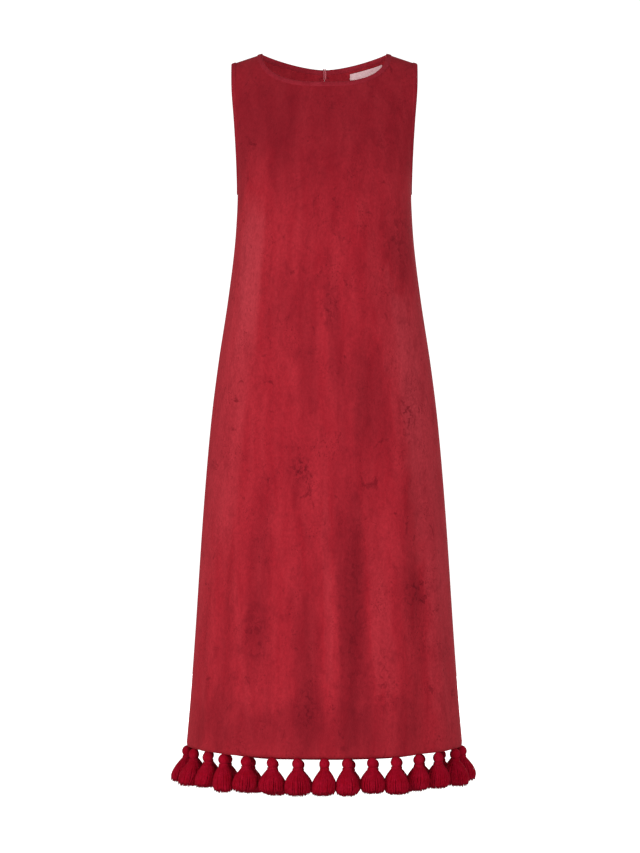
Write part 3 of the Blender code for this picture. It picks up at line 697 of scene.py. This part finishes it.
strip = {
    "depth": 7.4,              # mm that it covers of the cloth
    "outside": 1.3,            # its thickness on each face
    "brim": 1.3,               # and past the edge
    "flatSides": (0.75, 0.6),  # powers that square its section along and through the cloth
    "sectionPoints": 16,
    "perNeckColumn": 5,
    "armholeStops": 96,
    "shoulderFrom": 7.2,       # neck column from which it turns to the shoulder's top
    "crown": (0.955, 0.995),   # cosines from which an armhole's strip turns up, and down at the underarm
    "innerShare": 0.985,       # of the breadth, for a point on the cloth beside the armhole's edge
    "ahead": 1.5,              # mm along that edge, for its direction
}
edgeGrid = {"across": 64, "down": 40, "fall": 0.4}  # the cloth near its edges, for the strips to lie on


def clothTree():
    corners, faces = [], []
    for side in (front, back):
        bm, places = gridMesh(edgeGrid["across"], edgeGrid["down"])
        for v, (i, j) in places.items():
            column = cut["columns"] * (2 * i / edgeGrid["across"] - 1)
            v.co = panelPoint(side, column, (1 - j / edgeGrid["down"]) ** 2 * edgeGrid["fall"])
        bm.verts.index_update()
        start = len(corners)
        corners += [v.co.copy() for v in bm.verts]
        faces += [[start + v.index for v in f.verts] for f in bm.faces]
        bm.free()
    return BVHTree.FromPolygons(corners, faces)


tree = clothTree()


def inwardFrom(stops, k, closed, reach):
    # the cloth's nearest point, so far in from the edge at stop k
    edge, normal = stops[k]
    count = len(stops)
    before = stops[(k - 1) % count if closed else max(k - 1, 0)][0]
    after = stops[(k + 1) % count if closed else min(k + 1, count - 1)][0]
    inward = normal.cross(after - before).normalized()
    return tree.find_nearest(edge + inward * reach)[0]


def stripPiece(name, stops, closed, nodes, mat=shadedBindingMat):
    alongPower, thickPower = strip["flatSides"]
    rings = []
    for k, (edge, normal) in enumerate(stops):
        far = inwardFrom(stops, k, closed, strip["depth"])
        run = (far - edge).normalized()
        middle = (far + edge - run * strip["brim"]) / 2 - normal * cut["wall"] / 2
        longHalf = (far - edge).length / 2 + strip["brim"] / 2
        thickHalf = cut["wall"] / 2 + strip["outside"]
        ring = []
        for p in range(strip["sectionPoints"]):
            a = 2 * math.pi * p / strip["sectionPoints"]
            ca, sa = math.cos(a), math.sin(a)
            ring.append(middle + run * longHalf * math.copysign(abs(ca) ** alongPower, ca)
                        + normal * thickHalf * math.copysign(abs(sa) ** thickPower, sa))
        rings.append(ring)
    if closed:
        rings.append(rings[0])
    bm, places = gridMesh(len(rings) - 1, strip["sectionPoints"])
    for v, (i, j) in places.items():
        v.co = rings[i][j % strip["sectionPoints"]]
    bmesh.ops.remove_doubles(bm, verts=bm.verts, dist=weld)
    if not closed:
        bmesh.ops.holes_fill(bm, edges=bm.edges, sides=strip["sectionPoints"])
    return makePiece(bm, name, mat, nodes)


def shoulderNormal(toward):
    # square to the shoulder's top on that side
    fall = math.copysign(cut["neckPoint"] - cut["shoulderTip"], toward)
    return Vector((fall, 0, cut["shoulderHalfWidth"] - cut["neckHalfWidth"])).normalized()


def neckStops():
    fine = strip["perNeckColumn"]
    last = cut["neckColumns"] * fine
    places = [(back, k / fine) for k in range(0, last)]
    places += [(front, k / fine) for k in range(last, -last - 1, -1)]
    places += [(back, k / fine) for k in range(1 - last, 1)]
    stops = []
    for k, (side, column) in enumerate(places):
        point = panelPoint(side, column, 0.0)
        normal = skinNormal(side, point.x, point.z)
        near = smoothStep(strip["shoulderFrom"], cut["neckColumns"], abs(column))
        normal = normal.lerp(shoulderNormal(column), near).normalized()
        if abs(column) == cut["neckColumns"]:
            point.y = 0.0
        if side == back and column == 0:
            point.x = slitHalfGap(point.z) * (1 if k == 0 else -1)
        stops.append((point, normal))
    return stops


def armholeStops(half):
    stops = []
    for k in range(strip["armholeStops"]):
        turn = 2 * math.pi * k / strip["armholeStops"]
        side = front if turn <= math.pi else back
        height = armholeMiddle + armholeReach * math.cos(turn)
        point = skin(side, half, height)
        inner = skin(side, half * strip["innerShare"], height)
        ahead = skin(side, half, height + side * strip["ahead"]) - point
        normal = (point - inner).cross(ahead).normalized()
        normal *= math.copysign(1, normal.x * half)
        normal = normal.lerp(shoulderNormal(half), smoothStep(*strip["crown"], math.cos(turn)))
        normal = normal.lerp(Vector((half, 0, 0)), smoothStep(*strip["crown"], -math.cos(turn))).normalized()
        stops.append((point, normal))
    return stops if half < 0 else stops[::-1]


stripPiece("neckBinding", neckStops(), False, ["neck_binding"], shadedNeckStripMat)
stripPiece("armholeBindingLeft", armholeStops(-1), True, ["armhole_binding_left"])
stripPiece("armholeBindingRight", armholeStops(1), True, ["armhole_binding_right"])
print("bindings made")


# Tassels: a tied ball head over a core, and free strands

tassel = {
    "headRadius": 8.5,
    "headRidges": 26,
    "tieDrop": 17.0,
    "tieRadius": 6.5,
    "wraps": 3,
    "wrapRadius": 1.1,
    # rings of strands: count, share of the skirt, thickness and share of the length
    "layers": [(60, 1.0, 1.3, 0.93), (44, 0.80, 1.35, 0.975), (26, 0.52, 1.4, 1.0), (12, 0.24, 1.4, 1.0)],
    "strandSides": 4,
    "strandSteps": 8,
    "belly": 0.70,      # where down the skirt it is widest
    "tipIn": 0.78,
    "uneven": 2.2,
    "spread": 2.8,      # mm that its radius is past half its solid's box
    "lean": 13.0,       # mm that its tips lean for noise of 1
    "coreShare": 0.84,  # of the radius, for the core inside the strands
    "coreHang": 0.90,   # of the length
    # how far the tips of some tassels hang to the viewer's right of their heads, in mm, as in the photo
    "tipsAside": {"22": -11, "23": -10, "24": -8, "25": 0, "26": -3, "27": 0, "28": 0,
                  "01": -4, "02": 0, "03": 1, "04": 1, "05": -5, "06": -3, "07": 5, "08": 5},
}


def surfaceOfTurn(across, up, place):
    bm, places = gridMesh(across, up)
    for v, (i, j) in places.items():
        v.co = place(2 * math.pi * (i % across) / across, j / up)
    bmesh.ops.remove_doubles(bm, verts=bm.verts, dist=weld)
    return bm


def joined(target, source):
    mesh = bpy.data.meshes.new("passing")
    source.to_mesh(mesh)
    source.free()
    target.from_mesh(mesh)
    bpy.data.meshes.remove(mesh)


def skirtRadius(share, radius, tie):
    # share runs down the skirt from the tie to the tips
    swell = math.sin(math.pi / 2 * min(share / tassel["belly"], 1.0)) ** 0.95
    close = 1 - (1 - tassel["tipIn"]) * smoothStep(tassel["belly"], 1.0, share)
    return tie + (radius - tie) * swell * close


def makeTassel(number, node):
    low, high = [Vector(c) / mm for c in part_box(node)]
    centre = (low + high) / 2
    top, length = high.z, high.z - low.z
    radius = max(high.x - low.x, high.y - low.y) / 2 + tassel["spread"]
    seed = Vector((number * 3.7, 1.3, 0.4))
    lean = Vector((noise.noise(seed), noise.noise(seed + Vector((0, 5, 0))), 0)) * tassel["lean"]
    lean.x = tassel["tipsAside"].get(node[-2:], lean.x)
    tie, tieZ = tassel["tieRadius"], -tassel["tieDrop"]

    def head(turn, share):
        a = math.pi * share
        ridge = 1 + 0.03 * math.cos(tassel["headRidges"] * turn)
        r = tassel["headRadius"] * math.sin(a) ** 0.5 * ridge if 0 < share < 1 else 0.0
        r = max(r, tie * 0.9) if 0 < share < 0.5 else r
        return Vector((r * math.cos(turn), r * math.sin(turn), (tieZ - 1) * (1 - share) + 1.5 * share))

    bm = surfaceOfTurn(52, 14, head)

    def core(turn, share):
        r = 0.0 if share in (0.0, 1.0) else skirtRadius(1 - share, radius * tassel["coreShare"], tie * 0.9)
        drop = (length + tieZ) * tassel["coreHang"] * (1 - share)
        return Vector((r * math.cos(turn), r * math.sin(turn), tieZ + 0.5 - drop))

    joined(bm, surfaceOfTurn(20, 10, core))

    for w in range(tassel["wraps"]):
        def wrap(turn, share, w=w):
            a = 2 * math.pi * share
            r = tie + 0.5 + tassel["wrapRadius"] * math.cos(a)
            return Vector((r * math.cos(turn), r * math.sin(turn),
                           tieZ + 1.2 - 1.5 * w + tassel["wrapRadius"] * math.sin(a) + 0.4 * math.cos(turn)))
        joined(bm, surfaceOfTurn(28, 6, wrap))

    for layer, (count, reach, thick, hang) in enumerate(tassel["layers"]):
        for s in range(count):
            key = Vector((number * 1.9 + layer * 11.3, s * 2.37, 0.5))
            wobble = noise.noise(key)
            turn0 = 2 * math.pi * (s + 0.45 * wobble) / count + layer
            short = tassel["uneven"] * (0.5 + noise.noise(key + Vector((0, 0, 4))))
            sway = 0.10 * noise.noise(key + Vector((7, 0, 0)))
            strand, places = gridMesh(tassel["strandSides"], tassel["strandSteps"])
            for v, (i, j) in places.items():
                share = 1 - j / tassel["strandSteps"]
                fall = (length + tieZ - max(short, 0)) * share * hang
                turn = turn0 + sway * share
                r = skirtRadius(share, radius * reach - thick, tie * (0.55 + 0.4 * reach))
                r *= 1 + 0.05 * wobble * share
                spin = 2 * math.pi * (i % tassel["strandSides"]) / tassel["strandSides"] + 0.8
                grow = 0.55 + 0.45 * smoothStep(0.0, 0.4, share)
                fat = 0.0 if j == 0 else thick * grow * (1 if share < 0.97 else 0.8)
                side = Vector((-math.sin(turn), math.cos(turn), 0)) * math.cos(spin)
                away = Vector((math.cos(turn), math.sin(turn), 0)) * math.sin(spin)
                v.co = Vector((r * math.cos(turn), r * math.sin(turn), tieZ - fall)) + (side + away) * fat
            bmesh.ops.remove_doubles(strand, verts=strand.verts, dist=weld)
            joined(bm, strand)
    for v in bm.verts:
        share = min(max((tieZ - v.co.z) / (length + tieZ), 0.0), 1.0)
        v.co += lean * share * share
    bmesh.ops.translate(bm, vec=Vector((centre.x, centre.y, top)), verts=bm.verts)
    return makePiece(bm, "yarnTassel" + node[-2:], yarnMat, [node])


tasselNodes = sorted(n for n in frame["nodes"] if n.startswith("tassel_"))
yarnTassels = [makeTassel(k, node) for k, node in enumerate(tasselNodes)]
print("tassels made:", len(yarnTassels))


# Button, its cord loop and the stitches


def tube(points, radius, sides):
    # a round cord along the points, with its ends closed
    bm, places = gridMesh(sides, len(points) - 1)
    up = Vector((0.31, 0.52, 0.79))
    rings = []
    for k, point in enumerate(points):
        along = (points[min(k + 1, len(points) - 1)] - points[max(k - 1, 0)]).normalized()
        up = (up - along * up.dot(along)).normalized()
        across = along.cross(up)
        rings.append([point + radius * (math.cos(2 * math.pi * i / sides) * up
                                        + math.sin(2 * math.pi * i / sides) * across) for i in range(sides)])
    for v, (i, j) in places.items():
        v.co = rings[j][i % sides]
    bmesh.ops.remove_doubles(bm, verts=bm.verts, dist=weld)
    bmesh.ops.holes_fill(bm, edges=bm.edges, sides=sides)
    return bm


def smoothPath(points, steps):
    # Catmull-Rom through the points
    out = []
    for k in range(len(points) - 1):
        a, b, c, d = [points[min(max(k + o, 0), len(points) - 1)] for o in (-1, 0, 1, 2)]
        for s in range(steps):
            t = s / steps
            out.append(0.5 * (2 * b + (c - a) * t + (2 * a - 5 * b + 4 * c - d) * t * t
                              + (3 * b - 3 * c + d - a) * t ** 3))
    return out + [points[-1]]


closure = {
    "across": 4.2,
    "drop": 5.5,
    "base": 2.5,        # from the cloth to the shank's foot, through the binding
    "radius": 5.0,
    "thick": 2.6,
    "shank": 2.8,
    "shankRadius": 1.2,
    "dish": 0.7,
    "softEdge": 0.15,
    "cord": 0.85,       # its radius
    "cordSteps": 5,     # between two places of its path
    "cordSides": 10,
    # across, down and out from the button's foot: from inside over the neck edge, round the shank and back
    "cordPath": [
        (-2.2, 6.5, -5.2), (-2.2, -2, -5.2), (-2.4, -6.9, -4.9), (-2.8, -8.7, -1.5), (-3.0, -7.6, 2.4),
        (-2.8, -5.0, 3.5), (-1.4, -3.1, 3.5), (0.9, -2.6, 3.5), (2.7, 0.0, 3.5), (0.7, 2.6, 3.5),
        (-2.8, 2.2, 3.7), (-4.9, -0.4, 3.7), (-5.6, -5.0, 3.6), (-5.6, -7.6, 2.4), (-5.3, -8.7, -1.5),
        (-5.0, -6.9, -4.9), (-4.8, -2, -5.2), (-4.8, 6.5, -5.2),
    ],
}


def closureFrame():
    height = cut["backNeck"] - closure["drop"]
    origin = skinAt(back, closure["across"], height)
    out = skinNormal(back, 0.0, height)
    across = Vector((1, 0, 0))
    down = out.cross(across).normalized()
    return Matrix.Translation(origin) @ Matrix((across, down, out)).transposed().to_4x4()


def makeButton():
    foot = closure["base"]
    face = foot + closure["shank"] + closure["thick"]
    r, t, s = closure["radius"], closure["thick"], closure["shankRadius"]
    # radius and height from the shank's foot to the dished face
    profile = [
        (0.0, foot), (s, foot), (s, foot + closure["shank"]),
        (r - 1.2, face - t), (r - 0.3, face - t * 0.7), (r, face - t * 0.4),
        (r - 0.2, face - 0.3), (r - 0.8, face), (r - 1.5, face - 0.2),
        (r * 0.45, face - closure["dish"]), (0.0, face - closure["dish"] * 1.2),
    ]

    def place(turn, share):
        radius, z = profile[round(share * (len(profile) - 1))]
        return Vector((radius * math.cos(turn), radius * math.sin(turn), z))

    bm = surfaceOfTurn(40, len(profile) - 1, place)
    bmesh.ops.transform(bm, matrix=closureFrame(), verts=bm.verts)
    obj = makePiece(bm, "buttonFine", buttonMat, ["button"])
    edge = obj.modifiers.new("edge", "BEVEL")
    edge.affect = "EDGES"
    edge.limit_method = "ANGLE"
    edge.width = closure["softEdge"] * mm
    edge.segments = 2
    edge.profile = 0.5
    edge.material = -1
    return obj


def makeLoop():
    corners = [Vector(c) for c in closure["cordPath"]]
    points = [closureFrame() @ c for c in smoothPath(corners, closure["cordSteps"])]
    cord = tube(points, closure["cord"], closure["cordSides"])
    return makePiece(cord, "buttonCord", lightenedCordMat, ["button_loop"])


makeButton()
makeLoop()

stitch = {
    "length": 2.4,
    "gap": 0.9,
    "radius": 0.28,
    "sink": 0.12,
    "sides": 6,
    "rise": 0.9,   # of the radius, at the thread's middle
    "dive": 2.6,   # how fast it falls to its ends
    "inset": 2.0,  # mm from the strip's free side
    "below": 0.25,
}


def stitchRow(name, points, normals, mat):
    # short threads laid along a line, each dipping into the cloth at its ends
    bm = bmesh.new()
    total, reach = 0.0, stitch["length"]
    lengths = [0.0]
    for a, b in zip(points, points[1:]):
        total += (b - a).length
        lengths.append(total)

    def at(along):
        k = 0
        while k < len(points) - 2 and lengths[k + 1] < along:
            k += 1
        u = (along - lengths[k]) / max(lengths[k + 1] - lengths[k], 1e-6)
        return points[k].lerp(points[k + 1], u), normals[k].lerp(normals[k + 1], u).normalized()

    along = stitch["gap"]
    while along + reach < total:
        path = []
        for u in (0, 0.2, 0.5, 0.8, 1):
            point, normal = at(along + reach * u)
            lift = stitch["radius"] * (stitch["rise"] - stitch["dive"] * abs(u - 0.5) ** 2 * 2)
            path.append(point + normal * (lift - stitch["sink"]))
        joined(bm, tube(path, stitch["radius"], stitch["sides"]))
        along += reach + stitch["gap"]
    return makePiece(bm, name, mat)


def besideEdge(stops, closed, inset, lift):
    # the line on the binding's face, a little in from its free side
    points = [inwardFrom(stops, k, closed, inset) + normal * lift for k, (edge, normal) in enumerate(stops)]
    normals = [normal for edge, normal in stops]
    if closed:
        points.append(points[0])
        normals.append(normals[0])
    return points, normals


for name, stops, closed in (
    ("neckStitches", neckStops(), False),
    ("armholeStitchesLeft", armholeStops(-1), True),
    ("armholeStitchesRight", armholeStops(1), True),
):
    inset, lift = strip["depth"] - stitch["inset"], strip["outside"] - stitch["below"]
    line, lineNormals = besideEdge(stops, closed, inset, lift)
    stitchRow(name, line, lineNormals, threadMat)

# the label's stitched ends: places in x, depths below the neck edge, and how far inside the cloth's face
labelHold = {"left": 44.6, "right": 94.4, "drops": (10.8, 13.5, 16.5, 19.5, 22.2), "inside": 4.05}


def labelStitches(name, x):
    heights = [neckHeight(back, x) - drop for drop in labelHold["drops"]]
    line = [skinAt(back, x, z) - skinNormal(back, x, z) * labelHold["inside"] for z in heights]
    inward = [-skinNormal(back, x, p.z) for p in line]
    stitchRow(name, line, inward, threadMat)


labelStitches("labelStitchesLeft", labelHold["left"])
labelStitches("labelStitchesRight", labelHold["right"])
print("closure and stitches made")


# Carried-over pieces get their finish

for node, mat in {
    "slit_facing_left": shadedBindingMat,
    "slit_facing_right": shadedBindingMat,
    "neck_label": lightenedRibbonMat,
}.items():
    obj = bpy.data.objects[node]
    for slotIn in obj.material_slots:
        slotIn.material = mat
    if not obj.material_slots:
        obj.data.materials.append(mat)
print("carried-over pieces finished")


# Camera, light and floor

view = {
    "distance": 6.0,
    "x": -0.0073,
    "z": -0.6035,
    "imageHeight": 853,
    "pixel": 1.65,  # mm at the dress
    "sensor": 36.0,
}
camData = bpy.data.cameras.new("camera")
camData.sensor_width = view["sensor"]
frameHeight = view["imageHeight"] * view["pixel"] * mm
camData.lens = view["sensor"] * view["distance"] / frameHeight
camera = bpy.data.objects.new("camera", camData)
camera.location = (view["x"], -view["distance"], view["z"])
camera.rotation_euler = (math.pi / 2, 0, 0)
bpy.context.scene.collection.objects.link(camera)
bpy.context.scene.camera = camera

worldStrength = 0.4
lights = {
    "key": {"at": (-3.2, -2.9, -0.85), "size": 1.6, "power": 84, "colour": (1.0, 0.99, 0.97)},
    "fill": {"at": (1.9, -4.0, -0.8), "size": 2.4, "power": 68, "colour": (0.98, 0.99, 1.0)},
    "rim": {"at": (0.6, 4.4, -0.1), "size": 3.0, "power": 70, "colour": (1.0, 1.0, 1.0)},
    "neck": {"at": (0.01, -0.03, -0.095), "size": 0.055, "power": 0.055, "colour": (1.0, 0.99, 0.98),
             "aim": (0.02, 0.06, -0.03)},
}
for name, item in lights.items():
    lamp = bpy.data.lights.new(name, "AREA")
    lamp.size = item["size"]
    lamp.energy = item["power"]
    lamp.color = item["colour"]
    obj = bpy.data.objects.new(name, lamp)
    obj.location = item["at"]
    aim = Vector(item.get("aim", (0, 0, -0.6))) - Vector(item["at"])
    obj.rotation_euler = aim.to_track_quat("-Z", "Y").to_euler()
    obj.visible_camera = False
    bpy.context.scene.collection.objects.link(obj)

world = bpy.data.worlds.new("studio")
world.use_nodes = True
background = world.node_tree.nodes["Background"].inputs
background["Color"].default_value = (1, 1, 1, 1)
background["Strength"].default_value = worldStrength
bpy.context.scene.world = world
bpy.context.scene.view_settings.view_transform = "Standard"

# Pale floor that sweeps up into a backdrop all round, a little self-lit so that it photographs white
sweep = {
    "floor": -1.33,
    "reach": 16.0,
    "bend": 4.0,
    "top": 14.0,
    "turns": 64,
    "rows": 20,
    "flatRows": 0.4,  # share of the rows on the floor
    "bendRows": 0.4,  # and in the bend
    "glow": 0.8,
}


def sweepPoint(turn, up):
    flat = sweep["reach"] - sweep["bend"]
    along = (up - sweep["flatRows"]) / sweep["bendRows"]
    if along <= 0:
        r, z = flat * up / sweep["flatRows"], 0.0
    elif along <= 1:
        a = math.pi / 2 * along
        r, z = flat + sweep["bend"] * math.sin(a), sweep["bend"] * (1 - math.cos(a))
    else:
        share = (up - sweep["flatRows"] - sweep["bendRows"]) / (1 - sweep["flatRows"] - sweep["bendRows"])
        r, z = sweep["reach"], sweep["bend"] + (sweep["top"] - sweep["bend"]) * share
    return Vector((r * math.cos(turn), r * math.sin(turn), sweep["floor"] + z))


bm = surfaceOfTurn(sweep["turns"], sweep["rows"], sweepPoint)
sweepMesh = bpy.data.meshes.new("sweep")
bm.to_mesh(sweepMesh)
bm.free()
sweepMesh.shade_smooth()
paperMat, paper = newMaterial("whiteStudioPaper")
paper.inputs["Base Color"].default_value = linear("F2F2F2")
paper.inputs["Roughness"].default_value = 0.95
paper.inputs["Emission Color"].default_value = (1, 1, 1, 1)
paper.inputs["Emission Strength"].default_value = sweep["glow"]
sweepMesh.materials.append(paperMat)
sweepObj = bpy.data.objects.new("sweep", sweepMesh)
bpy.context.scene.collection.objects.link(sweepObj)
for ray in ("visible_diffuse", "visible_glossy", "visible_shadow"):
    setattr(sweepObj, ray, False)  # the paper shows white but leaves the lighting to the lamps
print("stage set")
